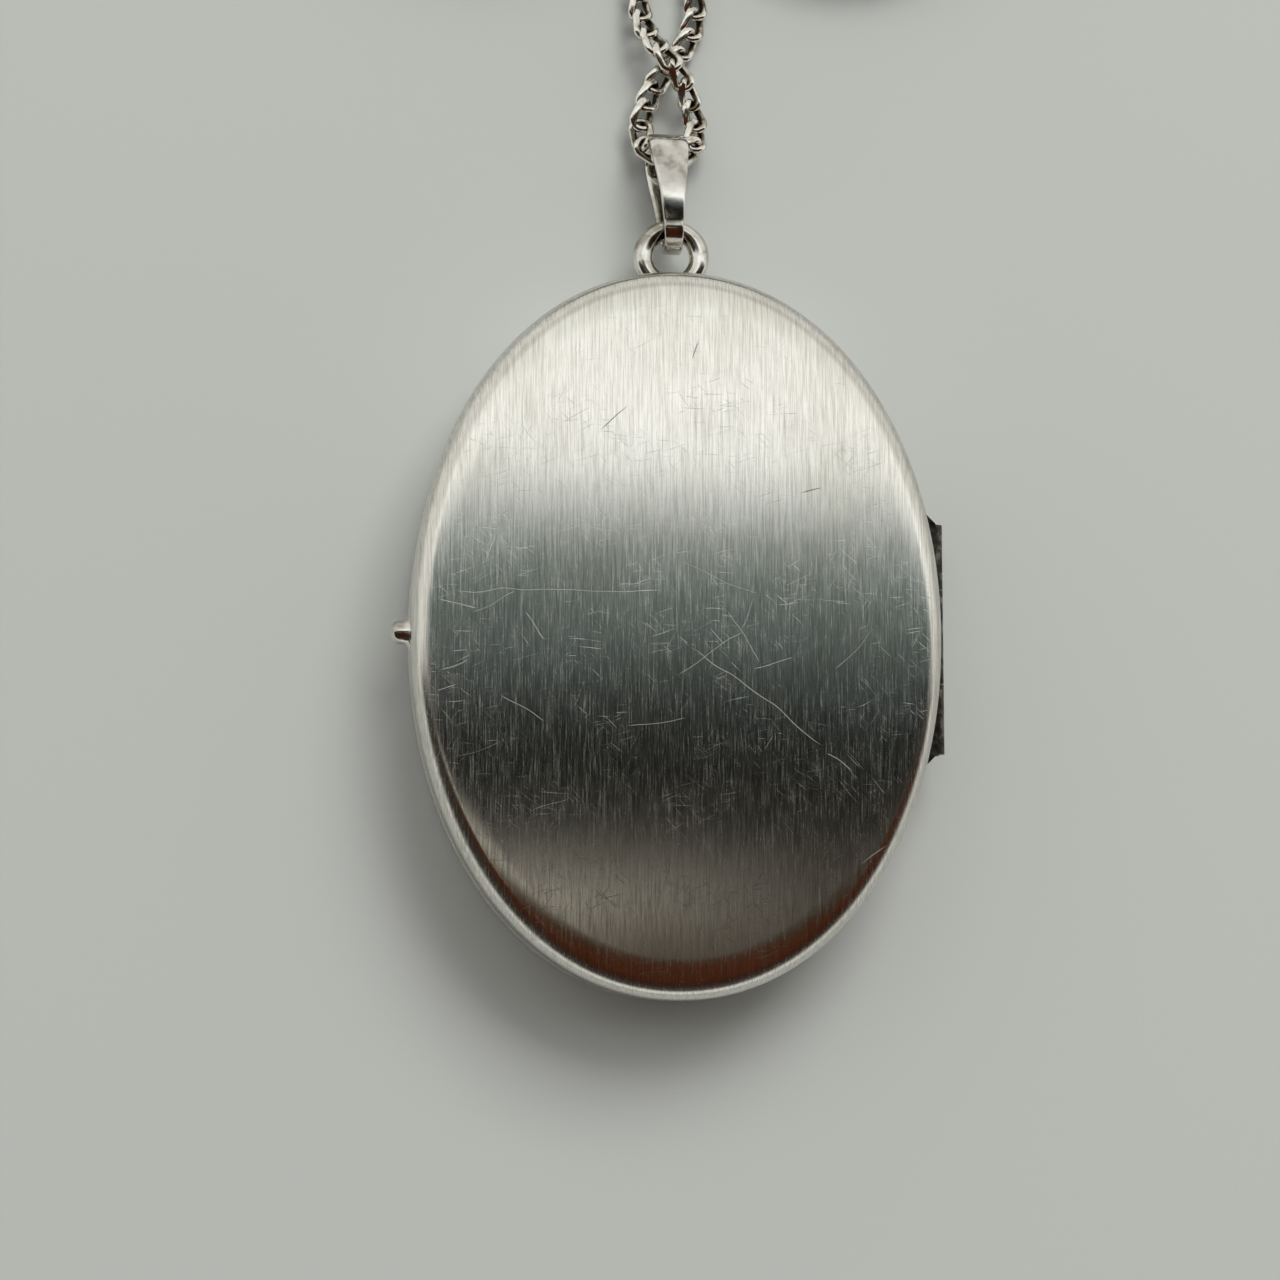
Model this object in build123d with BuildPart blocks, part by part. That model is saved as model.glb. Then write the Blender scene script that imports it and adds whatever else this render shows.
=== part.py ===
from build123d import *
import math
import os

# An oval silver locket on a fine curb chain, lying face down on a flat surface.
# Frame: millimetres. Origin under the middle of the oval, on the surface that the front cover lies on.
# +X is towards the hinge, +Y towards the bail and chain, +Z up out of the back cover.

os.makedirs("parts", exist_ok=True)

# Case: two drawn covers of silver sheet that meet at a seam
CASE_WIDTH = 30.2
CASE_LENGTH = 41.4
SHEET = 0.5
HALF_DEPTH = 3.2
SEAM_GAP = 0.04
SHOULDER = 1.4
BACK_CROWN = 0.5
HALF_W = CASE_WIDTH / 2
HALF_L = CASE_LENGTH / 2
SEAM_Z = HALF_DEPTH + SEAM_GAP / 2

# Inner rings and panes, as distances from the seam into each cover
BEZEL_WALL = 0.4
LIP_HEIGHT = 0.6
LIP_CLEARANCE = 0.06
FRAME_FIT = 0.05
FRAME_WIDTH = 1.45
SKIRT_WALL = 0.3
FRAME_TOP = 0.72
PANE_TOP = 1.02
CARD_TOP = 1.22
SEAT_TOP = 1.47
SEAT_BOTTOM = 1.77
SEAT_WIDTH = 1.6
BACK_BEZEL_TOP = 0.66

# Hinge: three knuckles on one pin, between tapered bearers soldered to the walls
HINGE_X = HALF_W + 0.1
KNUCKLE_R = 0.5
KNUCKLE_BORE_R = 0.26
PIN_R = 0.23
HINGE_RUN = 0.05  # clearance to a knuckle of the other half
HINGE_END = 6.65
KNUCKLE_SPLIT_UPPER = 2.87
KNUCKLE_SPLIT_LOWER = -2.6
KNUCKLE_GAP = 0.03
BEARER_HEIGHT = 0.8
BEARER_END = 7.65
BEARER_START = 2.0

# Thumb nib and snap bead, on the side away from the hinge
NIB_Y = -0.1
NIB_R = 0.6
NIB_FLARE_R = 0.95
NIB_REACH = 1.0
NIB_RISE = 0.72
BEAD_R = 0.2
BEAD_LENGTH = 3.0

# Loop soldered to the front cover's wall, and the bail through it
LOOP_Y = HALF_L + 1.6
LOOP_Z = 2.4
LOOP_R = 1.65
LOOP_WIRE_R = 0.58
BAIL_Y = LOOP_Y + LOOP_R
BAIL_STRIP = 0.4
BAIL_SMALL_R = 0.75
BAIL_BIG_R = 1.25
BAIL_LONG = 4.3
BAIL_CLEAR = 0.02  # the bail's far end over the surface
BAIL_DROP = math.asin((LOOP_Z - BAIL_BIG_R - BAIL_STRIP - BAIL_CLEAR) / BAIL_LONG)

# Chain: curb links, each strand run out, crossed over the other and wound into a coil
CHAIN_D = 1.3
LINK_LENGTH = 2.25
LINK_WIDTH = 1.4
LINK_WIRE_R = 0.15
CHAIN_Z = CHAIN_D / 2
STRAND_X = 1.5  # each strand's distance from the middle where it runs into its coil
COIL_R_OUT = 9.9  # the outer turn's and the inner turn's radii
COIL_R_IN = 6.5
COIL_X = STRAND_X + COIL_R_OUT
COIL_Y = 50.5
COIL_HEIGHT = 2 * CHAIN_D
COIL_ENTRY_Y = 45.0
TAIL_X = 1.95  # where the chain's ends come off their coils
TAIL_Y = 56.9
TAIL_Z = 1.2

# Spring-ring clasp and plain end ring, lying side by side past the coils
CLASP_X = -3.1
CLASP_Y = 63.9
TAIL_LEFT_END = (-3.0, 58.45, 0.68)
TAIL_RIGHT_END = (2.4, 58.55, 0.68)
CLASP_R = 2.4
CLASP_TUBE_R = 0.6
CLASP_BORE_R = 0.42
CLASP_MOUTH = (65.0, 115.0)
CLASP_BORE_END = 291.0
BOLT_R = 0.36
BOLT_ARC = (60.0, 195.0)
BOLT_TRAVEL = 45.0
KNOB_ANGLE = 150.0
KNOB_R = 0.13
KNOB_BALL_R = 0.26
SPRING_ARC = (196.0, 290.0)
SPRING_R = 0.3
EYE_R = 0.7
EYE_WIRE_R = 0.2
TIE_R = 0.65
TIE_WIRE_R = 0.18
TIE_ROLL = 35.0
END_RING_R = 1.5
END_RING_WIRE_R = 0.3
END_RING_CENTRE = (2.6, 60.6, END_RING_WIRE_R + 0.02)


def save(piece, name):
    """Labels a finished piece and writes it as a node of that name."""
    piece.part.label = name
    export_step(piece.part, f"parts/{name}.step")
    print(name, len(piece.part.solids()), "solids", round(piece.part.volume, 3), "mm3")


def oval_plug(inset, low, high):
    """A plain oval block, inset from the case's outline, between two heights."""
    with BuildPart() as plug:
        with BuildSketch(Plane.XY.offset(low)):
            Ellipse(HALF_W - inset, HALF_L - inset)
        extrude(amount=high - low)
    return plug.part


def oval_ring(outer, inner, low, high):
    """An oval ring between two insets and two heights."""
    with BuildPart() as ring:
        with BuildSketch(Plane.XY.offset(low)):
            Ellipse(HALF_W - outer, HALF_L - outer)
            Ellipse(HALF_W - inner, HALF_L - inner, mode=Mode.SUBTRACT)
        extrude(amount=high - low)
    return ring.part


def crown_ball(inset, top, crown):
    """An ellipsoid whose cap, crown high, just covers the inset oval and peaks at top."""
    half = HALF_W - inset
    ball_r = (half**2 + crown**2) / (2 * crown)
    with BuildPart() as ball:
        Sphere(ball_r)
        scale(by=(1, (HALF_L - inset) / half, 1))
    return ball.part.moved(Location((0, 0, top - ball_r)))


def cover_blank(inset, depth, shoulder, crown):
    """The solid inside a cover's surface: rim on Z 0, face up, round shoulder and crowned face."""
    with BuildPart() as blank:
        with BuildSketch():
            Ellipse(HALF_W - inset, HALF_L - inset)
        extrude(amount=depth + crown)
        if crown:
            add(crown_ball(inset, depth + crown, crown), mode=Mode.INTERSECT)
        face_edge = blank.faces().sort_by(Axis.Z)[-1].edges()
        fillet(face_edge, shoulder)
    return blank.part


def cover_shell(crown):
    """A drawn cover of even sheet, rim on Z 0 and face up."""
    with BuildPart() as shell:
        add(cover_blank(0, HALF_DEPTH, SHOULDER, crown))
        add(cover_blank(SHEET, HALF_DEPTH - SHEET, SHOULDER - SHEET, crown), mode=Mode.SUBTRACT)
    return shell.part


def along_y(radius, start, end, x=HINGE_X, z=SEAM_Z):
    """A round bar parallel to Y between two ends."""
    with BuildPart() as bar:
        with BuildSketch(Plane((x, start, z), x_dir=(1, 0, 0), z_dir=(0, 1, 0))):
            Circle(radius)
        extrude(amount=end - start)
    return bar.part


def knuckle(start, end):
    """A hinge knuckle: a short tube on the hinge's axis."""
    with BuildPart() as tube:
        add(along_y(KNUCKLE_R, start, end))
        add(along_y(KNUCKLE_BORE_R, start, end), mode=Mode.SUBTRACT)
    return tube


UPPER_SPAN = (KNUCKLE_SPLIT_UPPER + KNUCKLE_GAP, HINGE_END)
MIDDLE_SPAN = (KNUCKLE_SPLIT_LOWER + KNUCKLE_GAP, KNUCKLE_SPLIT_UPPER - KNUCKLE_GAP)
LOWER_SPAN = (-HINGE_END, KNUCKLE_SPLIT_LOWER - KNUCKLE_GAP)


def hinge_room(own_spans, other_spans):
    """What a half leaves free for the knuckles: its own fit face to face, the other half's run clear."""
    with BuildPart() as room:
        for start, end in own_spans:
            add(along_y(KNUCKLE_R, start - KNUCKLE_GAP, end + KNUCKLE_GAP))
        for start, end in other_spans:
            add(along_y(KNUCKLE_R + HINGE_RUN, start - HINGE_RUN, end + HINGE_RUN))
    return room.part


FRONT_ROOM = hinge_room([MIDDLE_SPAN], [UPPER_SPAN, LOWER_SPAN])
BACK_ROOM = hinge_room([UPPER_SPAN, LOWER_SPAN], [MIDDLE_SPAN])


def hinge_bearer(low, high, room):
    """Two tapered wings that fill in between the curved wall and the straight hinge line."""
    face_x = HINGE_X - HINGE_RUN
    corner = (face_x, BEARER_END - (BEARER_END - HINGE_END))
    tip = (face_x - (BEARER_END - HINGE_END), BEARER_END)
    with BuildPart() as bearer:
        with BuildSketch(Plane.XY.offset(low)):
            with BuildLine():
                Polyline(
                    (face_x, BEARER_START),
                    corner,
                    tip,
                    (HALF_W - 2, BEARER_END),
                    (HALF_W - 2, BEARER_START),
                    close=True,
                )
            make_face()
            mirror(about=Plane.XZ)
            Ellipse(HALF_W, HALF_L, mode=Mode.SUBTRACT)
        extrude(amount=high - low)
        add(room, mode=Mode.SUBTRACT)
    return bearer


# ---- the two covers ----

BEAD_X = -(HALF_W - SHEET - LIP_CLEARANCE - BEAD_R + 0.05)
BEAD_Z = SEAM_Z + LIP_HEIGHT / 2


def snap_bar(radius, length):
    """A bar where the snap bead lies."""
    return along_y(radius, NIB_Y - length / 2, NIB_Y + length / 2, BEAD_X, BEAD_Z)


with BuildPart() as front_shell:
    add(cover_shell(0).mirror(Plane.XY).moved(Location((0, 0, HALF_DEPTH))))
    add(FRONT_ROOM, mode=Mode.SUBTRACT)
save(front_shell, "front_shell")

with BuildPart() as back_shell:
    add(cover_shell(BACK_CROWN).moved(Location((0, 0, HALF_DEPTH + SEAM_GAP))))
    add(BACK_ROOM, mode=Mode.SUBTRACT)
    add(snap_bar(BEAD_R + 0.05, BEAD_LENGTH + 0.4), mode=Mode.SUBTRACT)
save(back_shell, "back_shell")

# ---- rings, panes and cards inside each cover ----

FRAME_OUT = SHEET + BEZEL_WALL + FRAME_FIT
PANE_OUT = FRAME_OUT + SKIRT_WALL + FRAME_FIT


def inner_stack(side, place):
    """The seat ring, card, pane and photo frame of one cover. place turns seam distances into heights."""
    with BuildPart() as seat:
        add(oval_ring(SHEET, SHEET + SEAT_WIDTH, *place(SEAT_TOP, SEAT_BOTTOM)))
    save(seat, f"{side}_seat_ring")

    with BuildPart() as card:
        add(oval_plug(PANE_OUT, *place(CARD_TOP, SEAT_TOP)))
    save(card, f"{side}_picture_card")

    with BuildPart() as pane:
        add(oval_plug(PANE_OUT, *place(PANE_TOP, CARD_TOP)))
    save(pane, f"{side}_window")

    with BuildPart() as frame:
        add(oval_ring(FRAME_OUT, FRAME_OUT + FRAME_WIDTH, *place(FRAME_TOP, PANE_TOP)))
        add(oval_ring(FRAME_OUT, FRAME_OUT + SKIRT_WALL, *place(PANE_TOP, SEAT_TOP)))
    save(frame, f"{side}_photo_frame")


def into_front(near, far):
    """Heights of a layer of the front cover, which lies under the seam."""
    return SEAM_Z - far, SEAM_Z - near


def into_back(near, far):
    """Heights of a layer of the back cover, which lies over the seam."""
    return SEAM_Z + near, SEAM_Z + far


inner_stack("front", into_front)
inner_stack("back", into_back)

# The front bezel stands over the seam as a lip that locates the back cover.
with BuildPart() as front_bezel:
    inner = SHEET + BEZEL_WALL
    add(oval_ring(SHEET, inner, SEAM_Z - SEAT_TOP, HALF_DEPTH))
    add(oval_ring(SHEET + LIP_CLEARANCE, inner, HALF_DEPTH, SEAM_Z + LIP_HEIGHT))
    add(snap_bar(BEAD_R, BEAD_LENGTH), mode=Mode.SUBTRACT)
save(front_bezel, "front_bezel")

with BuildPart() as back_bezel:
    add(oval_ring(SHEET, SHEET + BEZEL_WALL, *into_back(BACK_BEZEL_TOP, SEAT_TOP)))
save(back_bezel, "back_bezel")

with BuildPart() as snap_bead:
    add(snap_bar(BEAD_R, BEAD_LENGTH))
save(snap_bead, "snap_bead")

# ---- hinge ----

save(hinge_bearer(HALF_DEPTH - BEARER_HEIGHT, HALF_DEPTH, FRONT_ROOM), "front_hinge_bearer")
BACK_RIM = HALF_DEPTH + SEAM_GAP
save(hinge_bearer(BACK_RIM, BACK_RIM + BEARER_HEIGHT, BACK_ROOM), "back_hinge_bearer")

save(knuckle(*UPPER_SPAN), "hinge_knuckle_upper")
save(knuckle(*MIDDLE_SPAN), "hinge_knuckle_middle")
save(knuckle(*LOWER_SPAN), "hinge_knuckle_lower")

with BuildPart() as hinge_pin:
    add(along_y(PIN_R, -HINGE_END - 0.1, HINGE_END + 0.1))
    fillet(hinge_pin.edges().filter_by(GeomType.CIRCLE), PIN_R * 0.6)
save(hinge_pin, "hinge_pin")

# ---- thumb nib on the back cover's wall ----

NIB_Z = BACK_RIM + NIB_RISE
with BuildPart() as thumb_nib:
    with BuildSketch(Plane((0, NIB_Y, NIB_Z), x_dir=(-1, 0, 0), z_dir=(0, 1, 0))):
        with BuildLine():
            root = HALF_W - 0.3
            tip = HALF_W + NIB_REACH
            Line((root, 0), (root, NIB_FLARE_R))
            Line((root, NIB_FLARE_R), (HALF_W, NIB_FLARE_R))
            TangentArc((HALF_W, NIB_FLARE_R), (HALF_W + 0.4, NIB_R), tangent=(0.3, -1))
            Line((HALF_W + 0.4, NIB_R), (tip - 0.35, NIB_R))
            TangentArc((tip - 0.35, NIB_R), (tip, 0.2), tangent=(1, 0))
            Line((tip, 0.2), (tip, 0))
            Line((tip, 0), (root, 0))
        make_face()
    revolve(axis=Axis((0, NIB_Y, NIB_Z), (1, 0, 0)))
    add(oval_plug(0, 0, 2 * HALF_DEPTH), mode=Mode.SUBTRACT)
    split(bisect_by=Plane.XY.offset(BACK_RIM + 0.02), keep=Keep.TOP)
save(thumb_nib, "thumb_nib")

# ---- loop and bail ----

END_CURVE_R = HALF_W**2 / HALF_L  # how round the wall is at the end of the oval
with BuildPart() as case_loop:
    with Locations((0, LOOP_Y, LOOP_Z)):
        Torus(LOOP_R, LOOP_WIRE_R)
    with Locations((0, HALF_L - END_CURVE_R, HALF_DEPTH)):
        Cylinder(END_CURVE_R, 4 * HALF_DEPTH, mode=Mode.SUBTRACT)
save(case_loop, "case_loop")

bail_dir = Vector(0, math.cos(BAIL_DROP), -math.sin(BAIL_DROP))
bail_up = Vector(0, math.sin(BAIL_DROP), math.cos(BAIL_DROP))
bail_origin = Vector(0, BAIL_Y, LOOP_Z)
BAIL_END = BAIL_LONG + BAIL_BIG_R + BAIL_STRIP
with BuildPart() as bail:
    with BuildSketch(Plane(bail_origin, x_dir=bail_dir, z_dir=(1, 0, 0))):
        Circle(BAIL_SMALL_R + BAIL_STRIP)
        with Locations((BAIL_LONG, 0)):
            Circle(BAIL_BIG_R + BAIL_STRIP)
        make_hull()
        with BuildSketch(mode=Mode.SUBTRACT):
            Circle(BAIL_SMALL_R)
            with Locations((BAIL_LONG, 0)):
                Circle(BAIL_BIG_R)
            make_hull()
    extrude(amount=2, both=True)
    # The strip is widest at its fold and tapers to both ends.
    with BuildSketch(Plane(bail_origin, x_dir=bail_dir, z_dir=bail_up)):
        with BuildLine():
            Polyline((-2, 0), (-2, 0.5), (0, 0.52))
            Line((0, 0.52), (1.8, 0.69))
            Spline((1.8, 0.69), (3.4, 0.93), (BAIL_END, 1.08), tangents=((1, 0.12), (1, 0.02)))
            Polyline((BAIL_END, 1.08), (BAIL_END + 1, 1.08), (BAIL_END + 1, 0), (-2, 0))
        make_face()
        mirror(about=Plane.XZ)
    extrude(amount=3, both=True, mode=Mode.INTERSECT)
save(bail, "bail")


# ---- chain ----


def link(centre, along, across):
    """One oval chain link round its centre: its long way along, its short way across."""
    flat = Plane(centre, x_dir=along, z_dir=Vector(*along).cross(Vector(*across)))
    half_run = (LINK_LENGTH - LINK_WIDTH) / 2
    bend = LINK_WIDTH / 2 - LINK_WIRE_R
    with BuildPart() as made:
        with BuildLine(flat) as path:
            Line((-half_run, bend), (half_run, bend))
            CenterArc((half_run, 0), bend, 90, -180)
            Line((half_run, -bend), (-half_run, -bend))
            CenterArc((-half_run, 0), bend, 270, -180)
        with BuildSketch(Plane(path.wire() @ 0, z_dir=path.wire() % 0)):
            Circle(LINK_WIRE_R)
        sweep(path=path.wire())
    return made.part


# The five links through the bail: joints between links, from the left strand to the right one.
BIGHT_SIDE = [(0.68, 28.44, 1.62), (1.75, 29.14, 1.4), (1.95, 30.49, 1.1)]
bight = [(-x, y, z) for x, y, z in reversed(BIGHT_SIDE)] + BIGHT_SIDE
with BuildPart() as bail_links:
    for i, (start, end) in enumerate(zip(bight, bight[1:])):
        a, b = Vector(*start), Vector(*end)
        run = (b - a).normalized()
        flat_side = run.cross(Vector(0, 0, 1)).normalized()
        standing = flat_side.cross(run)
        add(link((a + b) * 0.5, run, flat_side if i % 2 == 0 else standing))
save(bail_links, "bail_links")


def turns(points):
    """The turn at each inner point of a route, in radians."""
    found = []
    for a, b, c in zip(points, points[1:], points[2:]):
        found.append(math.radians((Vector(*b) - Vector(*a)).get_angle(Vector(*c) - Vector(*b))))
    return found


def bend_radii(points):
    """The largest radius that the two runs at each corner leave room for."""
    runs = [(Vector(*b) - Vector(*a)).length for a, b in zip(points, points[1:])]
    return [
        0.45 * min(runs[i], runs[i + 1]) / math.tan(turn / 2) for i, turn in enumerate(turns(points))
    ]


def chain_tube(points, name):
    """A plain round tube along a route of straight runs and tangent arcs."""
    radii = bend_radii(points)
    print(name, "radii", [round(r, 2) for r in radii])
    with BuildPart() as tube:
        with BuildLine() as path:
            FilletPolyline(*points, radius=radii)
        route = path.wire()
        with BuildSketch(Plane(route @ 0, z_dir=route % 0)):
            Circle(CHAIN_D / 2)
        sweep(path=route)
    expected = route.length * math.pi * (CHAIN_D / 2) ** 2
    print(name, "length", round(route.length, 2), "volume ratio", round(tube.part.volume / expected, 4))
    return tube


# The strand from the bail's left side passes under the other and runs to the right coil.
UNDER_ROUTE = [
    (-1.42, 31.84, 0.95),
    (-1.05, 32.74, 0.72),
    (-0.35, 33.74, 0.66),
    (0.45, 34.64, 0.65),
    (1.2, 35.7, 0.66),
    (1.7, 37.15, 0.65),
    (1.72, 39.2, 0.66),
    (1.55, 42.0, 0.65),
    (STRAND_X, COIL_ENTRY_Y, CHAIN_Z),
]
# The strand from the right side goes over it in a low hump and runs to the left coil.
OVER_ROUTE = [
    (1.42, 31.84, 0.95),
    (1.12, 32.64, 1.5),
    (0.5, 33.64, 2.02),
    (-0.35, 34.64, 2.06),
    (-1.15, 35.7, 1.55),
    (-1.65, 37.15, 0.85),
    (-1.72, 39.2, 0.66),
    (-1.56, 42.0, 0.67),
    (-STRAND_X, COIL_ENTRY_Y, CHAIN_Z),
]
save(chain_tube(UNDER_ROUTE, "chain_strand_left"), "chain_strand_left")
save(chain_tube(OVER_ROUTE, "chain_strand_right"), "chain_strand_right")


def chain_coil(side):
    """The outer shape of a coil of two layers of turns."""
    with BuildPart() as coil:
        with BuildSketch():
            with Locations((side * COIL_X, COIL_Y)):
                Circle(COIL_R_OUT + CHAIN_D / 2)
                Circle(COIL_R_IN - CHAIN_D / 2, mode=Mode.SUBTRACT)
        extrude(amount=COIL_HEIGHT)
        fillet(coil.edges().filter_by(GeomType.CIRCLE), CHAIN_D * 0.4)
    return coil


save(chain_coil(1), "chain_coil_right")
save(chain_coil(-1), "chain_coil_left")


def chain_tail(start, end):
    """The chain's end, which comes down off its coil."""
    with BuildPart() as tail:
        with BuildSketch(Plane(start, z_dir=Vector(*end) - Vector(*start))):
            Circle(CHAIN_D / 2)
        extrude(amount=(Vector(*end) - Vector(*start)).length)
    return tail


save(chain_tail((-TAIL_X, TAIL_Y, TAIL_Z), TAIL_LEFT_END), "chain_tail_left")
save(chain_tail((TAIL_X, TAIL_Y, TAIL_Z), TAIL_RIGHT_END), "chain_tail_right")

# ---- clasp ----

CLASP_CENTRE = (CLASP_X, CLASP_Y, CLASP_TUBE_R + 0.02)


def ring_arc(radius, angles, ring_r=CLASP_R):
    """A round bar bent along an arc of the clasp's ring."""
    start, end = angles
    with BuildPart() as arc:
        a = math.radians(start)
        out = Vector(math.cos(a), math.sin(a), 0)
        origin = Vector(*CLASP_CENTRE)
        with BuildSketch(Plane(origin + out * ring_r, x_dir=out, z_dir=(-out.Y, out.X, 0))):
            Circle(radius)
        revolve(axis=Axis(origin, (0, 0, 1)), revolution_arc=end - start)
    return arc.part


def beside_clasp(angle, radius):
    """A point in the clasp's plane."""
    a = math.radians(angle)
    x, y, z = CLASP_CENTRE
    return (x + radius * math.cos(a), y + radius * math.sin(a), z)


KNOB_OUT = CLASP_R + CLASP_TUBE_R + 0.35
with BuildPart() as clasp_body:
    add(ring_arc(CLASP_TUBE_R, (CLASP_MOUTH[1], CLASP_MOUTH[0] + 360)))
    add(ring_arc(CLASP_BORE_R, (CLASP_MOUTH[1] - 1, CLASP_BORE_END)), mode=Mode.SUBTRACT)
    add(ring_arc(CLASP_BORE_R, (CLASP_MOUTH[0] - 12, CLASP_MOUTH[0] + 1)), mode=Mode.SUBTRACT)
    # slot for the knob, in the ring's outer side
    slot_start = math.radians(KNOB_ANGLE - 9)
    slot_out = Vector(math.cos(slot_start), math.sin(slot_start), 0)
    with BuildSketch(
        Plane(
            Vector(*CLASP_CENTRE) + slot_out * (CLASP_R + CLASP_TUBE_R),
            x_dir=slot_out,
            z_dir=(-slot_out.Y, slot_out.X, 0),
        )
    ):
        Rectangle(2 * CLASP_TUBE_R, 2 * KNOB_R + 0.1)
    revolve(
        axis=Axis(Vector(*CLASP_CENTRE), (0, 0, 1)),
        revolution_arc=BOLT_TRAVEL + 18,
        mode=Mode.SUBTRACT,
    )
    # fixed eye for the tie ring
    eye_centre = beside_clasp(270, CLASP_R + CLASP_TUBE_R + EYE_R)
    with Locations(eye_centre):
        Torus(EYE_R, EYE_WIRE_R)
    add(ring_arc(CLASP_BORE_R, (200, CLASP_BORE_END)), mode=Mode.SUBTRACT)
save(clasp_body, "clasp_body")

with BuildPart() as clasp_bolt:
    add(ring_arc(BOLT_R, BOLT_ARC))
    knob_dir = Vector(math.cos(math.radians(KNOB_ANGLE)), math.sin(math.radians(KNOB_ANGLE)), 0)
    with BuildSketch(Plane(beside_clasp(KNOB_ANGLE, CLASP_R), z_dir=knob_dir)):
        Circle(KNOB_R)
    extrude(amount=KNOB_OUT - CLASP_R)
    with Locations(beside_clasp(KNOB_ANGLE, KNOB_OUT)):
        Sphere(KNOB_BALL_R)
save(clasp_bolt, "clasp_bolt")

with BuildPart() as clasp_spring:
    add(ring_arc(SPRING_R, SPRING_ARC))
    add(ring_arc(SPRING_R * 0.6, SPRING_ARC), mode=Mode.SUBTRACT)
save(clasp_spring, "clasp_spring")

tie_centre = beside_clasp(270, CLASP_R + CLASP_TUBE_R + 2 * EYE_R)
tie_roll = math.radians(TIE_ROLL)
tie_plane = Plane(tie_centre, x_dir=(0, 1, 0), z_dir=(math.sin(tie_roll), 0, math.cos(tie_roll)))
with BuildPart(tie_plane) as clasp_tie_ring:
    Torus(TIE_R, TIE_WIRE_R)
save(clasp_tie_ring, "clasp_tie_ring")

with BuildPart() as chain_end_ring:
    with Locations(END_RING_CENTRE):
        Torus(END_RING_R, END_RING_WIRE_R)
save(chain_end_ring, "chain_end_ring")
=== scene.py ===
import bpy
import math
from mathutils import Matrix, Vector


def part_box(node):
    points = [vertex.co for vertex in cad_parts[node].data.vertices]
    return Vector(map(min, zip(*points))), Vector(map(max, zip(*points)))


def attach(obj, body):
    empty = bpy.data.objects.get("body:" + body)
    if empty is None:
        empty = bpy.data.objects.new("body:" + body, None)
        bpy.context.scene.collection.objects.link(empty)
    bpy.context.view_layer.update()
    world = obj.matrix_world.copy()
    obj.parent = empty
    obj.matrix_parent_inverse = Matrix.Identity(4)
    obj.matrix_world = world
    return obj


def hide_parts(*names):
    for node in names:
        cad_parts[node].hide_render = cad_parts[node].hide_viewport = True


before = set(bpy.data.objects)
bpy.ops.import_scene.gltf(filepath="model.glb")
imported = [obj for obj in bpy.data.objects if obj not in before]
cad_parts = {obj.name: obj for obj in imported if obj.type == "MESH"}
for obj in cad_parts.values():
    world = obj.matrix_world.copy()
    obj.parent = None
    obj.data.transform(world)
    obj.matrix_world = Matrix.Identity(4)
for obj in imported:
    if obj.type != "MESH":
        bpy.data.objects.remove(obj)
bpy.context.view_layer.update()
mm = 0.001
print("frame loaded")


# small helpers

def deselect():
    if bpy.context.mode != "OBJECT":
        bpy.ops.object.mode_set(mode="OBJECT")
    bpy.ops.object.select_all(action="DESELECT")


def pick(piece):
    deselect()
    piece.select_set(True)
    bpy.context.view_layer.objects.active = piece


def settle(piece):
    # the piece keeps its place in its mesh, with its object at the origin
    pick(piece)
    bpy.ops.object.transform_apply(location=True, rotation=True, scale=True)


def linear(hexColour):
    # sRGB hex to the linear numbers that a shader takes
    parts = [int(hexColour[i:i + 2], 16) / 255 for i in (1, 3, 5)]
    return tuple(p / 12.92 if p <= 0.04045 else ((p + 0.055) / 1.055) ** 2.4 for p in parts) + (1.0,)


def addNode(tree, kind, values=None, wires=None, **options):
    node = tree.nodes.new(kind)
    for key, value in options.items():
        setattr(node, key, value)
    for key, value in (values or {}).items():
        node.inputs[key].default_value = value
    for key, source in (wires or {}).items():
        socket = source.outputs[0] if isinstance(source, bpy.types.Node) else source
        tree.links.new(socket, node.inputs[key])
    return node


def newMaterial(name, **sockets):
    material = bpy.data.materials.new(name)
    material.use_nodes = True
    tree = material.node_tree
    shader = tree.nodes["Principled BSDF"]
    for key, value in sockets.items():
        shader.inputs[key.replace("_", " ")].default_value = value
    return material, tree, shader


def colourRamp(tree, source, stops):
    ramp = addNode(tree, "ShaderNodeValToRGB", wires={"Fac": source})
    elements = ramp.color_ramp.elements
    while len(elements) < len(stops):
        elements.new(0.5)
    for element, (place, colour) in zip(elements, stops):
        element.position = place
        element.color = linear(colour)
    return ramp


def dress(nodeName, material):
    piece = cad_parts[nodeName]
    piece.data.materials.clear()
    piece.data.materials.append(material)
    return piece


# camera

view = {
    "lens": 84.7,
    "sensor": 36.0,
    "distance": 170 * mm,
    "leanLeft": 0.12,  # how far the camera stands off the vertical, as a slope
    "leanDown": 0.12,
    "aim": (-2.14 * mm, -0.47 * mm, 5 * mm),
}


def addCamera():
    bpy.ops.object.camera_add()
    camera = bpy.context.object
    camera.name = "studio_camera"
    camera.data.lens = view["lens"]
    camera.data.sensor_width = view["sensor"]
    camera.data.clip_start = 0.005
    back = Vector((-view["leanLeft"], -view["leanDown"], 1)).normalized()
    right = Vector((0, 1, 0)).cross(back).normalized()
    up = back.cross(right)
    turn = Matrix((right, up, back)).transposed()
    camera.matrix_world = Matrix.Translation(Vector(view["aim"]) + view["distance"] * back) @ turn.to_4x4()
    bpy.context.scene.camera = camera


addCamera()
print("camera placed")


# chain

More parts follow.
